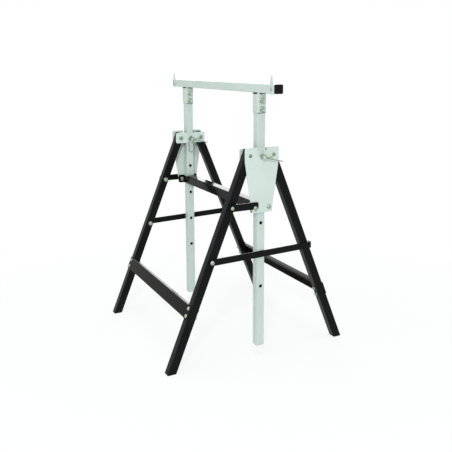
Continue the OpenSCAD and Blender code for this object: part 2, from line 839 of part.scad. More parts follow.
// Long wire loop that hangs on the left pin
module pull_loop() {
    straight = loop_drop + loop_up - loop_r - loop_wire / 2;
    color(zinc) at_pin(-1) translate([loop_x, 0, loop_up]) rotate([90, 0, 90]) {
        rotate_extrude(angle = 180) translate([loop_r, 0]) circle(d = loop_wire);
        translate([0, -straight, 0]) rotate([0, 0, 180])
            rotate_extrude(angle = 180) translate([loop_r, 0]) circle(d = loop_wire);
        for (side = [-1, 1])
            translate([side * loop_r, 0, 0]) rotate([90, 0, 0]) cylinder(d = loop_wire, h = straight);
    }
}

beam();
beam_plug(-1);  // left_beam_plug
beam_plug(1);  // right_beam_plug
stop(-1);  // left_stop
stop(1);  // right_stop
stop_screws();
post(-1);  // left_post
post(1);  // right_post
post_keys(-1);  // left_post_keys
post_keys(1);  // right_post_keys
sleeve(-1);  // left_sleeve
sleeve(1);  // right_sleeve
sleeve_bolts();
sleeve_nuts();
outer_plate(-1);  // left_outer_plate
outer_plate(1);  // right_outer_plate
inner_plate(-1);  // left_inner_plate
inner_plate(1);  // right_inner_plate
crossbar();
pivot_bolts();
pivot_nuts();
pivot_washers();
hook_bolts();
plate_bolts();
low_nuts();
leg(-1, -1);  // front_left_leg
leg(-1, 1);  // front_right_leg
leg(1, -1);  // rear_left_leg
leg(1, 1);  // rear_right_leg
foot(-1, -1);  // front_left_foot
foot(-1, 1);  // front_right_foot
foot(1, -1);  // rear_left_foot
foot(1, 1);  // rear_right_foot
cross_member(-1);  // front_cross_member
cross_member(1);  // rear_cross_member
cross_bolts(-1);  // front_cross_bolts
cross_bolts(1);  // rear_cross_bolts
cross_nuts(-1);  // front_cross_nuts
cross_nuts(1);  // rear_cross_nuts
strap(-1);  // left_strap
strap(1);  // right_strap
strap_bolts();
strap_nuts();
strap_spacers();
tie_bar(-1);  // left_tie_bar
tie_bar(1);  // right_tie_bar
tie_bolts();
tie_nuts();
pin(-1);  // left_pin
pin(1);  // right_pin
clip(-1);  // left_clip
clip(1);  // right_clip
pull_loop();
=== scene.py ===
import json
import math

import bmesh
import bpy
from mathutils import Matrix, Vector


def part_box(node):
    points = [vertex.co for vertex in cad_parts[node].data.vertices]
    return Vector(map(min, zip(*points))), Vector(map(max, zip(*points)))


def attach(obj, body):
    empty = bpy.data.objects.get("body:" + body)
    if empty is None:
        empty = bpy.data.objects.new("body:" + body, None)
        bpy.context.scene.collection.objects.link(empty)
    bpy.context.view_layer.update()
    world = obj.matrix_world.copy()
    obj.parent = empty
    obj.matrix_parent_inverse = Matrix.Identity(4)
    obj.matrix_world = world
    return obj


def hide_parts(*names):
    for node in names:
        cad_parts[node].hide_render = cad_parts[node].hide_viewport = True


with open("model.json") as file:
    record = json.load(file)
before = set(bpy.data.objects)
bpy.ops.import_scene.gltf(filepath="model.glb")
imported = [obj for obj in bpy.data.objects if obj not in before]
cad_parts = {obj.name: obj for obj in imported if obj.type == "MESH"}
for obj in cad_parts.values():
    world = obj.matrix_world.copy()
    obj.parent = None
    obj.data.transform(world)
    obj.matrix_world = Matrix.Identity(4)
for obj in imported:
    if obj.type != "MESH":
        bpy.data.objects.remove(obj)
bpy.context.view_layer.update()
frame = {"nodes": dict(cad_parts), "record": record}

# Which body each imported node rides with, and where the joints are
RECORD = frame["record"]
BODY_OF = {node: body for body, nodes in RECORD["behaviour"]["bodies"].items() for node in nodes}
JOINT_AT = {joint["name"]: joint.get("pos_m") for joint in RECORD["behaviour"]["joints"]}

MM = 0.001
ROUND_STEPS = 48
CREASE = math.radians(32)
SAME_PLACE = 0.01 * MM
ALONG_BEAM = Vector((1, 0, 0))

# Camera of the photograph
CAMERA_PLACE = Vector((1.7835, -0.8716, 0.8513))
CAMERA_AZIMUTH = math.radians(63.418)
CAMERA_RISE = math.radians(10.617)
CAMERA_ROLL = math.radians(-0.278)
CAMERA_LENS = 50.14
CAMERA_SENSOR = 36.0
CAMERA_SHIFT_UP = -0.0973


def tone(red, green, blue):
    """A colour as seen on a screen, 0 to 255, as the linear colour that a shader takes."""
    linear = []
    for level in (red, green, blue):
        part = level / 255
        linear.append(part / 12.92 if part <= 0.04045 else ((part + 0.055) / 1.055) ** 2.4)
    return (*linear, 1.0)


class Wire:
    """An output of a shader node that takes part in arithmetic."""

    def __init__(self, nodes, output):
        self.nodes = nodes
        self.output = output

    def maths(self, operation, *values):
        sockets = dict(enumerate(values))
        return self.nodes.add("ShaderNodeMath", {"operation": operation}, sockets)

    def __add__(self, other):
        return self.maths("ADD", self, other)

    def __radd__(self, other):
        return self.maths("ADD", other, self)

    def __sub__(self, other):
        return self.maths("SUBTRACT", self, other)

    def __rsub__(self, other):
        return self.maths("SUBTRACT", other, self)

    def __mul__(self, other):
        return self.maths("MULTIPLY", self, other)

    def __rmul__(self, other):
        return self.maths("MULTIPLY", other, self)

    def __pow__(self, power):
        return self.maths("POWER", self, power)

    def __abs__(self):
        return self.maths("ABSOLUTE", self)

    def above(self, level):
        return self.maths("GREATER_THAN", self, level)

    def below(self, level):
        return self.maths("LESS_THAN", self, level)

    def most(self, other):
        return self.maths("MAXIMUM", self, other)

    def within(self, period):
        return self.maths("FLOORED_MODULO", self, period)

    def ramp(self, start, end):
        """0 up to start, 1 from end, and a smooth step between."""
        settings = {"interpolation_type": "SMOOTHSTEP", "clamp": True}
        return self.nodes.add("ShaderNodeMapRange", settings, {0: self, 1: start, 2: end})


class Nodes:
    """The nodes of one material or of the world."""

    def __init__(self, owner):
        owner.use_nodes = True
        self.owner = owner
        self.tree = owner.node_tree

    def add(self, kind, settings=None, sockets=None, output=0):
        made = self.tree.nodes.new(kind)
        for name, value in (settings or {}).items():
            setattr(made, name, value)
        for name, value in (sockets or {}).items():
            self.feed(made.inputs[name], value)
        return Wire(self, made.outputs[output])

    def feed(self, socket, value):
        if isinstance(value, Wire):
            self.tree.links.new(value.output, socket)
        else:
            socket.default_value = value

    def place(self):
        return self.add("ShaderNodeTexCoord", output="Object")

    def parts(self, vector):
        split = self.add("ShaderNodeSeparateXYZ", None, {0: vector})
        outputs = split.output.node.outputs
        return [Wire(self, output) for output in outputs]

    def noise(self, place, scale, detail=2.0, rough=0.5):
        sockets = {"Vector": place, "Scale": scale, "Detail": detail, "Roughness": rough}
        return self.add("ShaderNodeTexNoise", {"noise_dimensions": "3D"}, sockets)

    def mix(self, factor, first, second):
        return self.add("ShaderNodeMix", {"data_type": "RGBA"}, {0: factor, 6: first, 7: second}, 2)

    def stretch(self, place, by):
        return self.add("ShaderNodeVectorMath", {"operation": "MULTIPLY"}, {0: place, 1: by})

    def bump(self, height, strength, depth):
        return self.add("ShaderNodeBump", None, {"Strength": strength, "Distance": depth, "Height": height})


class Finish(Nodes):
    """A paint, plating or plastic: one material with its shader."""

    def __init__(self, name):
        super().__init__(bpy.data.materials.new(name))
        self.shader = self.tree.nodes["Principled BSDF"]

    def set(self, **values):
        for name, value in values.items():
            self.feed(self.shader.inputs[name.replace("_", " ")], value)


# White powder coat of beam, posts, sleeves, stops and plates
POST_LOW, POST_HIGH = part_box("right_post")
POST_X = (POST_LOW[0] + POST_HIGH[0]) / 2
# Inside these half widths the post and sleeve coats are painted dark as shade
POST_BORE = 11.3 * MM
SLEEVE_BORE = 12.9 * MM
SLEEVE_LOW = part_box("right_sleeve")[0]
# Painted shadow: top of the dark line along the low edge of each sleeve's right wall
SHADOW_LINE_TOP = SLEEVE_LOW[2] + 1.5 * MM
WHITE_HIGH = tone(210, 222, 216)
WHITE_LOW = tone(203, 216, 208)
# Painted light: the plates take a brighter copy of the same white coat, for the light their broad faces
# catch
PLATE_LIT_HIGH = tone(222, 233, 228)
PLATE_LIT_LOW = tone(215, 227, 220)
WHITE_RUBBED = tone(176, 184, 178)
# Painted shade: the dark colour given inside the tube bores and to the shadow line under a sleeve wall
WHITE_PAINTED_SHADE = tone(46, 52, 50)
WHITE_PEEL = 620
WHITE_ROUGH = 0.34
PAINT_DEPTH = 0.25 * MM


def white_coat(name, rubbed=None, bore=None, shadow_line_below=None, high=WHITE_HIGH, low=WHITE_LOW):
    """Satin white with orange peel: rubbed where a mask says, painted shade inside a bore, and a painted
    shadow line along a low edge.
    """
    finish = Finish(name)
    place = finish.place()
    cloud = finish.noise(place, scale=7, detail=3.0)
    peel = finish.noise(place, scale=WHITE_PEEL, detail=1.5)
    fine = finish.noise(place, scale=60, detail=4.0, rough=0.6)
    colour = finish.mix(cloud.ramp(0.3, 0.7), low, high)
    rough = WHITE_ROUGH + 0.12 * (fine - 0.5) + 0.06 * (cloud - 0.5)
    height = peel + 0.35 * fine
    if rubbed:
        mark = rubbed(finish, place, fine)
        colour = finish.mix(mark, colour, WHITE_RUBBED)
        rough = rough - 0.1 * mark
        height = height - 0.6 * mark
    if bore:
        # Painted shade: faces inside the bore are coloured dark where shade falls in the tube
        across, along, up = finish.parts(place)
        inside = abs(abs(across) - POST_X).below(bore) * abs(along).below(bore)
        # Painted shadow: a dark line on faces looking along +X, below the given level, where the wall
        # stands off the post
        if shadow_line_below:
            normal = finish.add("ShaderNodeTexCoord", output="Normal")
            inside = inside.most(finish.parts(normal)[0].above(0.5) * up.below(shadow_line_below))
        colour = finish.mix(inside, colour, WHITE_PAINTED_SHADE)
    finish.set(Base_Color=colour, Roughness=rough)
    finish.set(Normal=finish.bump(height, strength=0.1, depth=PAINT_DEPTH))
    return finish.owner


# Black gloss of tubes, bars and folded sheet pieces
BLACK_PEEL = 480
BLACK_DUST = tone(150, 148, 140)


def black_coat(name, high, low, rough, bend, veil, pooled=0.0):
    """Gloss black with orange peel, a thin veil of dust on upward faces, and paint pooled thicker there."""
    finish = Finish(name)
    place = finish.place()
    normal = finish.add("ShaderNodeTexCoord", output="Normal")
    upward = finish.parts(normal)[2].ramp(0.55, 0.95)
    cloud = finish.noise(place, scale=11, detail=3.0)
    peel = finish.noise(place, scale=BLACK_PEEL, detail=1.5)
    dust = finish.noise(place, scale=85, detail=5.0, rough=0.7).ramp(0.45, 0.75)
    speck = upward * dust * veil
    colour = finish.mix(cloud.ramp(0.3, 0.7), low, high)
    colour = finish.mix(speck, colour, BLACK_DUST)
    finish.set(Base_Color=colour, Roughness=rough + 0.1 * (cloud - 0.5) + 0.25 * speck)
    finish.set(Normal=finish.bump(peel, strength=0.09, depth=PAINT_DEPTH), IOR=bend)
    if pooled:
        finish.set(Coat_Weight=pooled * upward, Coat_Roughness=0.06)
    return finish.owner


def zinc_plate(name, high, low, rough):
    """Bright zinc with the faint crystal mottle and yellow-green cast of its passivation."""
    finish = Finish(name)
    place = finish.place()
    crystal = finish.add("ShaderNodeTexVoronoi", None, {"Vector": place, "Scale": 420}, "Color")
    mottle = finish.parts(crystal)[0]
    cloud = finish.noise(place, scale=45, detail=4.0, rough=0.6)
    fine = finish.noise(place, scale=900, detail=2.0)
    colour = finish.mix(0.6 * cloud.ramp(0.3, 0.7) + 0.4 * mottle, low, high)
    finish.set(Base_Color=colour, Roughness=rough + 0.14 * (mottle - 0.5) + 0.1 * (cloud - 0.5))
    finish.set(Normal=finish.bump(fine, strength=0.06, depth=0.1 * MM), Metallic=1.0)
    return finish.owner


def moulded_black(name):
    """Black polyethylene with a spark-eroded grain and paler scuffs."""
    finish = Finish(name)
    place = finish.place()
    grain = finish.noise(place, scale=1500, detail=2.0)
    cloud = finish.noise(place, scale=30, detail=3.0)
    drawn = finish.stretch(place, (40, 160, 160))
    scuff = finish.noise(drawn, scale=1.0, detail=5.0, rough=0.7).ramp(0.6, 0.85)
    colour = finish.mix(cloud, tone(17, 18, 19), tone(23, 24, 25))
    colour = finish.mix(0.25 * scuff, colour, tone(64, 65, 66))
    finish.set(Base_Color=colour, Roughness=0.42 + 0.14 * (cloud - 0.5) + 0.15 * scuff)
    finish.set(Normal=finish.bump(grain, strength=0.14, depth=0.2 * MM), IOR=1.17)
    return finish.owner


# Places of the setting holes, for the rubbed rims round them
PIN_AT = Vector(JOINT_AT["loop_swing"])
HOLE_PITCH = 95 * MM
HOLE_REACH = 5 * MM
HOLES_BELOW = 4.5
RIM_WEAR = 2.2 * MM
SLIDE_TOP = 640 * MM


def post_rubbing(finish, place, fine):
    """Rims of the setting holes, and faint upright lines where a post slides in its guides."""
    across, along, up = finish.parts(place)
    depth = PIN_AT.z - up
    inside = depth.above(-0.5 * HOLE_PITCH) * depth.below(HOLES_BELOW * HOLE_PITCH)
    drop = (depth + 0.5 * HOLE_PITCH).within(HOLE_PITCH) - 0.5 * HOLE_PITCH
    reach = (drop * drop + along * along) ** 0.5
    rim = 1 - reach.ramp(HOLE_REACH + 0.3 * RIM_WEAR, HOLE_REACH + RIM_WEAR)
    drawn = finish.stretch(place, (700, 700, 9))
    lines = finish.noise(drawn, scale=1.0, detail=3.0).ramp(0.6, 0.8)
    slide = lines * up.below(SLIDE_TOP) * 0.16
    return (0.6 * rim * inside * fine.ramp(0.35, 0.6)).most(slide)


WHITE = white_coat("white_powder_coat")
# Painted light: a brighter copy of the white coat, given to the plates
WHITE_PLATE_LIT = white_coat("white_plate_coat", high=PLATE_LIT_HIGH, low=PLATE_LIT_LOW)
# Posts: rubbed rims and slide lines, and painted shade inside the bore
WHITE_POST = white_coat("white_post_coat", rubbed=post_rubbing, bore=POST_BORE)
# Sleeves: painted shade inside the bore and a painted shadow line along the low edge of the right wall
WHITE_SLEEVE = white_coat("white_sleeve_coat", bore=SLEEVE_BORE, shadow_line_below=SHADOW_LINE_TOP)
BLACK_TUBE = black_coat("black_gloss_tube", tone(21, 22, 23), tone(14, 15, 16),
                        rough=0.24, bend=1.17, veil=0.05)
BLACK_BAR = black_coat("black_crossbar", tone(18, 19, 19), tone(13, 14, 14),
                       rough=0.12, bend=1.15, veil=0.06)
BLACK_SHEET = black_coat("black_folded_sheet", tone(22, 22, 20), tone(17, 17, 15),
                         rough=0.1, bend=1.13, veil=0.06, pooled=1.0)
ZINC = zinc_plate("zinc_fastener", tone(186, 200, 182), tone(148, 164, 146), rough=0.44)
ZINC_PALE = zinc_plate("zinc_pale", tone(180, 196, 180), tone(146, 164, 148), rough=0.4)
ZINC_DULL = zinc_plate("zinc_dulled", tone(150, 163, 138), tone(118, 131, 110), rough=0.4)
ZINC_WIRE = zinc_plate("zinc_wire", tone(168, 182, 162), tone(124, 140, 120), rough=0.3)
ZINC_PIN = zinc_plate("zinc_pin", tone(206, 221, 205), tone(168, 185, 168), rough=0.38)
PLASTIC = moulded_black("moulded_plastic")


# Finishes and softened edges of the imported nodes
SHEET_EDGE = 0.4 * MM
TUBE_EDGE = 0.3 * MM
FOOT_EDGE = 0.8 * MM
EDGE_STEPS = 2
EDGE_ANGLE = math.radians(35)
FLAT_ANGLE = math.radians(1)


def dress(material, *nodes):
    """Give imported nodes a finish."""
    for node in nodes:
        for slot in frame["nodes"][node].material_slots:
            slot.material = material


def soften(width, *nodes):
    """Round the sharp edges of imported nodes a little, as sheared and painted edges are."""
    for node in nodes:
        shown = frame["nodes"][node]
        weld = shown.modifiers.new("joined", "WELD")
        weld.merge_threshold = SAME_PLACE
        flat = shown.modifiers.new("flat_faces", "DECIMATE")
        flat.decimate_type = "DISSOLVE"
        flat.angle_limit = FLAT_ANGLE
        edge = shown.modifiers.new("soft_edges", "BEVEL")
        edge.width = width
        edge.segments = EDGE_STEPS
        edge.limit_method = "ANGLE"
        edge.angle_limit = EDGE_ANGLE
        shown.modifiers.new("even_shade", "WEIGHTED_NORMAL")


SIDES = ("left", "right")
LEGS = [f"{end}_{side}" for end in ("front", "rear") for side in SIDES]

dress(WHITE, "beam", "left_stop", "right_stop")
# Plates: the brighter copy of the white coat, painted light
dress(WHITE_PLATE_LIT, *[f"{side}_{part}" for side in SIDES for part in ("outer_plate", "inner_plate")])
dress(WHITE_SLEEVE, *[f"{side}_sleeve" for side in SIDES])
dress(WHITE_POST, *[f"{side}_{part}" for side in SIDES for part in ("post", "post_keys")])
dress(BLACK_TUBE, *[f"{leg}_leg" for leg in LEGS])
dress(BLACK_TUBE, *[f"{side}_{bar}" for side in SIDES for bar in ("strap", "tie_bar")])
dress(BLACK_BAR, "crossbar")
dress(BLACK_SHEET, "front_cross_member", "rear_cross_member")
dress(PLASTIC, *[f"{leg}_foot" for leg in LEGS])
dress(ZINC_PIN, "left_pin", "right_pin")
dress(ZINC_WIRE, "pull_loop")

soften(SHEET_EDGE, *[f"{side}_{part}" for side in SIDES
                     for part in ("stop", "outer_plate", "inner_plate", "strap", "tie_bar")])
soften(TUBE_EDGE, "beam", "crossbar", "front_cross_member", "rear_cross_member")
soften(TUBE_EDGE, *[f"{side}_{part}" for side in SIDES for part in ("post", "post_keys", "sleeve")])
soften(TUBE_EDGE, *[f"{leg}_leg" for leg in LEGS])
soften(FOOT_EDGE, *[f"{leg}_foot" for leg in LEGS])


# Fasteners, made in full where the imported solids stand
TIP_LEN = 0.5 * MM
HEAD_SHARE = 0.9


class Solid:
    """One separate solid of a fastener node, measured along its own axis."""

    def __init__(self, points, turn):
        low = [min(point[k] for point in points) for k in range(3)]
        high = [max(point[k] for point in points) for k in range(3)]
        middle = Vector((0, (low[1] + high[1]) / 2, (low[2] + high[2]) / 2))
        rims = [(point.x, (point - middle).yz.length) for point in points]
        self.length = high[0] - low[0]
        self.reach = max(rim for along, rim in rims)
        self.bore = min(rim for along, rim in rims)
        wide = [along for along, rim in rims if rim > HEAD_SHARE * self.reach]
        start = Matrix.Translation((low[0], middle.y, middle.z))
        if sum(wide) / len(wide) < (low[0] + high[0]) / 2:
            rims = [(high[0] - along, rim) for along, rim in rims]
            start = Matrix.Translation((high[0], middle.y, middle.z)) @ Matrix.Rotation(math.pi, 4, "Z")
        else:
            rims = [(along - low[0], rim) for along, rim in rims]
        self.shank = max(rim for along, rim in rims if along < TIP_LEN)
        self.head_at = min(along for along, rim in rims if rim > HEAD_SHARE * self.reach)
        self.place = turn @ start


def solids(node, axis=ALONG_BEAM):
    """The separate solids of a node, in a settled order."""
    turn = axis.to_track_quat("X", "Z").to_matrix().to_4x4()
    back = turn.inverted()
    mesh = bmesh.new()
    mesh.from_mesh(frame["nodes"][node].data)
    bmesh.ops.remove_doubles(mesh, verts=mesh.verts, dist=SAME_PLACE)
    mesh.verts.ensure_lookup_table()
    seen = [False] * len(mesh.verts)
    found = []
    for first in mesh.verts:
        if seen[first.index]:
            continue
        seen[first.index] = True
        grow = [first]
        points = []
        while grow:
            vert = grow.pop()
            points.append(back @ vert.co)
            for edge in vert.link_edges:
                other = edge.other_vert(vert)
                if not seen[other.index]:
                    seen[other.index] = True
                    grow.append(other)
        found.append(Solid(points, turn))
    mesh.free()
    return found


def ring(place, along, reach):
    """Points round the X axis of a place; reach is a radius, or a rule that gives it by angle."""
    points = []
    for step in range(ROUND_STEPS):
        angle = math.tau * step / ROUND_STEPS
        radius = reach(angle) if callable(reach) else reach
        points.append(place @ Vector((along, radius * math.cos(angle), radius * math.sin(angle))))
    return points


def skin(mesh, rings, looped=False):
    """Faces between rings that follow each other; the ends are closed, or joined to each other."""
    rows = [[mesh.verts.new(point) for point in points] for points in rings]
    pairs = list(zip(rows, rows[1:]))
    if looped:
        pairs.append((rows[-1], rows[0]))
    else:
        mesh.faces.new(list(reversed(rows[0])))
        mesh.faces.new(rows[-1])
    for low, high in pairs:
        for k in range(len(low)):
            n = (k + 1) % len(low)
            mesh.faces.new((low[k], low[n], high[n], high[k]))


def turned(mesh, place, profile, looped=False):
    """A turned form from pairs of distance along the axis and reach."""
    skin(mesh, [ring(place, along, reach) for along, reach in profile], looped)


def piece(name, mesh, material, body, replaced=()):
    """Make an object of a mesh and let it ride."""
    bmesh.ops.recalc_face_normals(mesh, faces=mesh.faces)
    data = bpy.data.meshes.new(name)
    mesh.to_mesh(data)
    mesh.free()
    data.shade_smooth()
    data.set_sharp_from_angle(angle=CREASE)
    data.materials.append(material)
    made = bpy.data.objects.new(name, data)
    bpy.context.scene.collection.objects.link(made)
    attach(made, body)
    if replaced:
        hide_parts(*replaced)


def stand_in(name, mesh, material, node):
    """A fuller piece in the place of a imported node."""
    piece(name, mesh, material, BODY_OF[node], (node,))


def hexagon(flats, limit):
    """Reach of a hexagon across its flats, held inside a chamfer's cone."""
    def reach(angle):
        turn = angle % (math.tau / 6) - math.tau / 12
        return min(flats / 2 / math.cos(turn), limit)
    return reach


def thread(radius, depth, pitch, along):
    """Reach of a screw thread at one distance along its axis."""
    def reach(angle):
        phase = (along / pitch - angle / math.tau) % 1
        return radius - depth * abs(2 * phase - 1)
    return reach


THREAD_LEN = 9 * MM
THREAD_STEPS = 4
THREAD_DEPTH = 0.55
THREAD_START = 0.15 * MM
THREAD_RUNOUT = 0.6 * MM
TIP_CHAMFER = 0.8 * MM
TIP_INSET = 0.2 * MM
TIP_LEAD = 0.1 * MM


def threaded_shank(solid, pitch):
    """A bolt's shank from its tip: chamfer, thread as far as the nut, plain shank to the head."""
    depth = THREAD_DEPTH * pitch
    root = solid.shank - depth
    rings = [(0, root - TIP_INSET)]
    count = int(THREAD_LEN / pitch * THREAD_STEPS)
    for step in range(count + 1):
        along = THREAD_START + THREAD_LEN * step / count
        cut = min(solid.shank, root + TIP_LEAD + (solid.shank - root) * along / TIP_CHAMFER)
        rings.append((along, thread(cut, min(depth, cut - root), pitch, along)))
    rings.append((THREAD_LEN + THREAD_RUNOUT, solid.shank))
    rings.append((solid.head_at, solid.shank))
    return rings


DOME_STEPS = 9
DOME_RIM = 0.9 * MM
DOME_BREAK = 0.25 * MM
DOME_TOP = 0.06


def dome_head(base, reach, height):
    """Mushroom head: a narrow rim, then an oval dome."""
    rings = [(base, reach - DOME_BREAK), (base + DOME_BREAK, reach), (base + DOME_RIM, reach)]
    for step in range(1, DOME_STEPS):
        angle = math.pi / 2 * step / DOME_STEPS
        rise = DOME_RIM + (height - DOME_RIM) * math.sin(angle)
        rings.append((base + rise, reach * math.cos(angle)))
    rings.append((base + height, DOME_TOP * reach))
    return rings


def domed_bolts(name, node, axis=ALONG_BEAM, pitch=1.25 * MM, material=ZINC):
    mesh = bmesh.new()
    for solid in solids(node, axis):
        height = solid.length - solid.head_at
        head = dome_head(solid.head_at, solid.reach, height)
        turned(mesh, solid.place, threaded_shank(solid, pitch) + head)
    stand_in(name, mesh, material, node)


SLEEVE_BOLT_FLATS = 13 * MM
FLANGE_BREAK = 0.3 * MM
FLANGE_EDGE = 0.8 * MM
FLANGE_TOP = 1.6 * MM
HEX_FACE = 0.47
HEX_CHAMFER = (0.3 * MM, 0.6 * MM, 0.9 * MM)
CONE_SLOPE = math.sqrt(3)
DISH = 0.5 * MM
DISH_RIM = 0.36
DISH_FLOOR = 0.3
DISH_MIDDLE = 0.02


def hex_head(base, reach, height, flats):
    """Flanged hexagon head with a chamfered top and a shallow dish."""
    rings = [(base, reach - FLANGE_BREAK), (base + FLANGE_BREAK, reach), (base + FLANGE_EDGE, reach)]
    rings.append((base + FLANGE_TOP, hexagon(flats, flats)))
    top = base + height
    for drop in (*reversed(HEX_CHAMFER), 0):
        rings.append((top - drop, hexagon(flats, HEX_FACE * flats + drop * CONE_SLOPE)))
    rings.append((top, DISH_RIM * flats))
    rings.append((top - DISH, DISH_FLOOR * flats))
    rings.append((top - DISH, DISH_MIDDLE * flats))
    return rings


def hex_bolts(name, node, flats, axis=ALONG_BEAM, pitch=1.25 * MM, material=ZINC):
    mesh = bmesh.new()
    for solid in solids(node, axis):
        height = solid.length - solid.head_at
        head = hex_head(solid.head_at, solid.reach, height, flats)
        turned(mesh, solid.place, threaded_shank(solid, pitch) + head)
    stand_in(name, mesh, material, node)


NUT_SINK = 0.5 * MM


def hex_nuts(name, node, axis=ALONG_BEAM):
    """Hexagon nuts, chamfered on both faces and countersunk into the thread."""
    mesh = bmesh.new()
    for solid in solids(node, axis):
        flats = 2 * solid.reach * math.cos(math.pi / 6)
        face = HEX_FACE * flats
        mouth = solid.bore + NUT_SINK
        high = solid.length
        profile = [(NUT_SINK, solid.bore), (0, mouth), (0, face)]
        for up in HEX_CHAMFER:
            profile.append((up, hexagon(flats, face + up * CONE_SLOPE)))
        for up in reversed(HEX_CHAMFER):
            profile.append((high - up, hexagon(flats, face + up * CONE_SLOPE)))
        profile += [(high, face), (high, mouth), (high - NUT_SINK, solid.bore)]
        turned(mesh, solid.place, profile, True)
    stand_in(name, mesh, ZINC, node)


TUMBLED_EDGE = 0.35 * MM
TUMBLED_SHARE = 0.25
TUMBLED_BEND = 0.3


def tumbled_rings(name, node):
    """Washers and spacers with tumbled edges."""
    mesh = bmesh.new()
    for solid in solids(node):
        high = solid.length
        edge = min(TUMBLED_EDGE, TUMBLED_SHARE * high)
        bend = TUMBLED_BEND * edge
        profile = [(edge, solid.bore), (0, solid.bore + edge), (0, solid.reach - edge),
                   (bend, solid.reach - bend), (edge, solid.reach),
                   (high - edge, solid.reach), (high - bend, solid.reach - bend),
                   (high, solid.reach - edge), (high, solid.bore + edge), (high - edge, solid.bore)]
        turned(mesh, solid.place, profile, True)
    stand_in(name, mesh, ZINC, node)


# Direction in which the cross-member bolts point, square to the splayed legs
PIVOT = Vector(JOINT_AT["fold"])
FOOT_LOW, FOOT_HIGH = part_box("front_right_foot")
FOOT_Y = (FOOT_LOW[1] + FOOT_HIGH[1]) / 2
SPLAY = math.atan2(PIVOT.y - FOOT_Y, PIVOT.z)
FRONT_FACE = Vector((0, -math.cos(SPLAY), math.sin(SPLAY)))
REAR_FACE = Vector((0, math.cos(SPLAY), math.sin(SPLAY)))

domed_bolts("pivot_bolt_set", "pivot_bolts", material=ZINC_DULL)
domed_bolts("hook_bolt_set", "hook_bolts")
domed_bolts("plate_bolt_set", "plate_bolts")
domed_bolts("strap_bolt_set", "strap_bolts")
domed_bolts("tie_bolt_set", "tie_bolts")
domed_bolts("front_cross_bolt_set", "front_cross_bolts", FRONT_FACE, 1 * MM)
domed_bolts("rear_cross_bolt_set", "rear_cross_bolts", REAR_FACE, 1 * MM)
hex_bolts("sleeve_bolt_set", "sleeve_bolts", SLEEVE_BOLT_FLATS, material=ZINC_PALE)
hex_nuts("sleeve_nut_set", "sleeve_nuts")
hex_nuts("pivot_nut_set", "pivot_nuts")
hex_nuts("low_nut_set", "low_nuts")
hex_nuts("strap_nut_set", "strap_nuts")
hex_nuts("tie_nut_set", "tie_nuts")
hex_nuts("front_cross_nut_set", "front_cross_nuts", FRONT_FACE)
hex_nuts("rear_cross_nut_set", "rear_cross_nuts", REAR_FACE)
tumbled_rings("pivot_washer_set", "pivot_washers")
tumbled_rings("strap_spacer_set", "strap_spacers")


SCREW_INSET = 0.64 * MM
SCREW_CHAMFER = 0.4 * MM


def stop_screws():
    """Dome-headed screws through the stops."""
    mesh = bmesh.new()
    for solid in solids("stop_screws", Vector((0, -1, 0))):
        height = solid.length - solid.head_at
        shank = [(0, solid.shank - SCREW_INSET), (SCREW_CHAMFER, solid.shank), (solid.head_at, solid.shank)]
        turned(mesh, solid.place, shank + dome_head(solid.head_at, solid.reach, height))
    stand_in("stop_screw_set", mesh, ZINC, "stop_screws")


stop_screws()


# Spring clips, bent from round wire through the pins
CLIP_WIRE = 3 * MM
CLIP_INSET = 5 * MM
CLIP_LEN = 62 * MM
CLIP_DROOP = math.radians(-13)
EYE_R = 5 * MM
EYE_BACK = 9 * MM
OVER_LEN = 11 * MM
OVER_RISE = 3.4 * MM
FLARE_LEN = 26 * MM
FLARE_RISE = 5 * MM
WIRE_SIDES = 14
WIRE_END = 0.35 * CLIP_WIRE
WIRE_TIP = 0.55


def clip_path():
    """Centre line of a clip in its own plane: straight prong, eye, hump over the pin, flared end."""
    path = [(CLIP_LEN - CLIP_LEN * 0.1 * k, 0) for k in range(10)]
    path += [(-EYE_BACK * k / 4, 0) for k in range(1, 4)]
    for step in range(19):
        angle = math.radians(10 * step - 90)
        path.append((-EYE_BACK - EYE_R * math.cos(angle), EYE_R + EYE_R * math.sin(angle)))
    middle = OVER_RISE / 2
    for step in range(1, 21):
        share = step / 20
        path.append((share * (OVER_LEN + EYE_BACK) - EYE_BACK,
                     EYE_R + middle + (EYE_R - middle) * math.cos(math.pi * share)))
    for step in range(1, 11):
        share = step / 10
        path.append((OVER_LEN + (FLARE_LEN - OVER_LEN) * share,
                     OVER_RISE + FLARE_RISE * (1 - math.cos(math.pi / 2 * share))))
    return path


def spring_clip(side):
    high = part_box(f"{side}_pin")[1]
    start = Matrix.Translation((high[0] - CLIP_INSET, PIN_AT.y, PIN_AT.z))
    place = start @ Matrix.Rotation(CLIP_DROOP, 4, "X")
    path = [Vector((0, along, rise)) for along, rise in clip_path()]
    rings = []
    last = len(path) - 1
    for k, point in enumerate(path):
        ahead = (path[min(k + 1, last)] - path[max(k - 1, 0)]).normalized()
        up_way = ALONG_BEAM.cross(ahead)
        ends = [(0, 1.0)]
        if k == 0:
            ends = [(0, WIRE_TIP), (WIRE_END, 1.0)]
        if k == last:
            ends = [(-WIRE_END, 1.0), (0, WIRE_TIP)]
        for shift, share in ends:
            centre = point + shift * ahead
            radius = CLIP_WIRE / 2 * share
            points = []
            for step in range(WIRE_SIDES):
                turn = math.tau * step / WIRE_SIDES
                around = math.cos(turn) * ALONG_BEAM + math.sin(turn) * up_way
                points.append(place @ (centre + radius * around))
            rings.append(points)
    mesh = bmesh.new()
    skin(mesh, rings)
    stand_in(f"{side}_spring_clip", mesh, ZINC_WIRE, f"{side}_clip")


for side in SIDES:
    spring_clip(side)


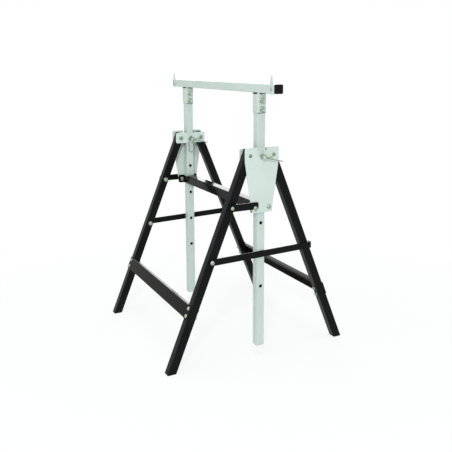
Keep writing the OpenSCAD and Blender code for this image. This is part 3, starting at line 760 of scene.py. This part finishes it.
# Moulded plugs in the ends of the beam
PLUG_LIP = 6 * MM
PLUG_SQUARE = 9
PLUG_EDGE = 1.2 * MM
PLUG_CROWN = 0.5 * MM
PLUG_INSERT = 10.9 * MM
PLUG_LEAD = 0.15
PLUG_LEAD_SIZE = 0.85
PLUG_BREAK = 0.4 * MM


def square(half):
    """Reach of a square with rounded corners."""
    def reach(angle):
        power = PLUG_SQUARE
        return half / (abs(math.cos(angle)) ** power + abs(math.sin(angle)) ** power) ** (1 / power)
    return reach


def beam_plug(side):
    node = f"{side}_beam_plug"
    low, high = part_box(node)
    half = (high[1] - low[1]) / 2
    up = (high[2] + low[2]) / 2
    if side == "right":
        place = Matrix.Translation((high[0] - PLUG_LIP, 0, up))
    else:
        place = Matrix.Translation((low[0] + PLUG_LIP, 0, up)) @ Matrix.Rotation(math.pi, 4, "Z")
    depth = high[0] - low[0] - PLUG_LIP
    profile = [(-depth, square(PLUG_LEAD_SIZE * PLUG_INSERT)),
               (PLUG_LEAD * depth - depth, square(PLUG_INSERT)), (0, square(PLUG_INSERT)),
               (0, square(half - PLUG_BREAK)), (PLUG_BREAK, square(half))]
    shoulder = PLUG_LIP - PLUG_CROWN - PLUG_EDGE
    for step in range(6):
        angle = math.pi / 2 * step / 5
        profile.append((shoulder + PLUG_EDGE * math.sin(angle),
                        square(half - PLUG_EDGE * (1 - math.cos(angle)))))
    for share in (0.8, 0.6, 0.4, 0.2, 0.02):
        profile.append((PLUG_LIP - PLUG_CROWN * share * share, square((half - PLUG_EDGE) * share)))
    mesh = bmesh.new()
    turned(mesh, place, profile)
    stand_in(f"{side}_moulded_plug", mesh, PLASTIC, node)


for side in SIDES:
    beam_plug(side)


# Weld beads where a sleeve meets the beam: along its whole left wall, and at the tab of its right one
BEAD = 2.1 * MM
BEAD_END = 11.6 * MM
TAB_END = 7.8 * MM
RIPPLE = 1.4 * MM
BEAD_STEPS = 60
BEAD_ARC = 7
BEAD_SINK = 0.2 * MM
RIPPLE_SHARE = 0.16
BEAD_TIP = 0.05


def sleeve_welds():
    mesh = bmesh.new()
    for side in SIDES:
        low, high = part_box(f"{side}_sleeve")
        for wall, out, end in ((low[0], -1, BEAD_END), (high[0], 1, -TAB_END)):
            rings = []
            for step in range(BEAD_STEPS + 1):
                share = step / BEAD_STEPS
                along = (end + BEAD_END) * share - BEAD_END
                ripple = 1 - RIPPLE_SHARE + RIPPLE_SHARE * abs(math.sin(math.pi * along / RIPPLE))
                fade = math.sqrt(max(BEAD_TIP, 1 - (2 * share - 1) ** 6))
                size = BEAD * ripple * fade
                points = [Vector((wall - BEAD_SINK * out, along, high[2] + BEAD_SINK))]
                for turn in range(BEAD_ARC):
                    angle = math.pi / 2 * turn / (BEAD_ARC - 1)
                    points.append(Vector((wall + out * size * math.cos(angle), along,
                                          high[2] - size * math.sin(angle))))
                rings.append(points)
            skin(mesh, rings)
    piece("sleeve_welds", mesh, WHITE, "upper")


sleeve_welds()


# Pale floor, soft lamps and white surroundings
FLOOR_HALF = 30
FLOOR_DROP = 0.2 * MM
FADE_START = 0.5
FADE_END = 1.3
NEAR_GLOW = 0.8
SKY_LIGHT = 0.46
SKY_TINT = (0.9, 1.0, 0.99, 1)


def seen(nodes):
    """1 for what the camera sees, straight or in a shiny or clear surface."""
    path = nodes.add("ShaderNodeLightPath").output.node.outputs
    rays = [Wire(nodes, path[name]) for name in ("Is Camera Ray", "Is Glossy Ray", "Is Transmission Ray")]
    return rays[0].most(rays[1]).most(rays[2])


def pale_floor():
    finish = Finish("pale_floor")
    across, along = finish.parts(finish.place())[:2]
    away = (across * across + along * along) ** 0.5
    grain = finish.noise(finish.place(), scale=24, detail=3.0)
    finish.set(Base_Color=finish.mix(grain, tone(246, 247, 247), tone(249, 250, 250)), Roughness=0.7)
    finish.set(Specular_IOR_Level=0.1)
    glow = finish.add("ShaderNodeEmission", None, {"Color": (1, 1, 1, 1), "Strength": 1.0})
    lit = Wire(finish, finish.shader.outputs[0])
    share = (NEAR_GLOW + (1 - NEAR_GLOW) * away.ramp(FADE_START, FADE_END)) * seen(finish)
    both = finish.add("ShaderNodeMixShader", None, {0: share, 1: lit, 2: glow})
    finish.feed(finish.tree.nodes["Material Output"].inputs["Surface"], both)
    mesh = bmesh.new()
    corners = ((-1, -1), (1, -1), (1, 1), (-1, 1))
    mesh.faces.new([mesh.verts.new((FLOOR_HALF * x, FLOOR_HALF * y, -FLOOR_DROP)) for x, y in corners])
    data = bpy.data.meshes.new("floor")
    mesh.to_mesh(data)
    mesh.free()
    data.materials.append(finish.owner)
    floor = bpy.data.objects.new("floor", data)
    bpy.context.scene.collection.objects.link(floor)


def surroundings():
    world = bpy.data.worlds.new("white_surroundings")
    bpy.context.scene.world = world
    nodes = Nodes(world)
    shown = seen(nodes)
    back = nodes.tree.nodes["Background"]
    nodes.feed(back.inputs["Color"], nodes.mix(shown, SKY_TINT, (1, 1, 1, 1)))
    nodes.feed(back.inputs["Strength"], SKY_LIGHT + (1 - SKY_LIGHT) * shown)


LOOK_AT = Vector((0, 0, 0.42))
CROSSBAR_AT = Vector((0, 0, 0.47))


def soft_lamp(name, place, width, height, power, at=LOOK_AT):
    data = bpy.data.lights.new(name, "AREA")
    data.shape = "RECTANGLE"
    data.size = width
    data.size_y = height
    data.energy = power
    lamp = bpy.data.objects.new(name, data)
    lamp.location = place
    lamp.rotation_euler = (at - Vector(place)).to_track_quat("-Z", "Y").to_euler()
    lamp.visible_camera = False
    bpy.context.scene.collection.objects.link(lamp)


def camera():
    data = bpy.data.cameras.new("photo_camera")
    data.lens = CAMERA_LENS
    data.sensor_width = CAMERA_SENSOR
    data.shift_y = CAMERA_SHIFT_UP
    data.clip_start = 0.05
    data.clip_end = 200
    made = bpy.data.objects.new("photo_camera", data)
    made.location = CAMERA_PLACE
    ahead = Vector((-math.sin(CAMERA_AZIMUTH) * math.cos(CAMERA_RISE),
                    math.cos(CAMERA_AZIMUTH) * math.cos(CAMERA_RISE), -math.sin(CAMERA_RISE)))
    turn = ahead.to_track_quat("-Z", "Y").to_matrix() @ Matrix.Rotation(CAMERA_ROLL, 3, "Z")
    made.rotation_euler = turn.to_euler()
    bpy.context.scene.collection.objects.link(made)
    bpy.context.scene.camera = made


pale_floor()
surroundings()
soft_lamp("key_lamp", (2.99, -1.94, 2.37), width=0.4, height=0.4, power=54)
soft_lamp("top_lamp", (0.3, -0.3, 3.4), width=2.2, height=2.2, power=45)
soft_lamp("back_lamp", (-2.2, 1.09, 0.93), width=1.6, height=1.1, power=15, at=CROSSBAR_AT)
camera()

bpy.context.scene.view_settings.view_transform = "Standard"
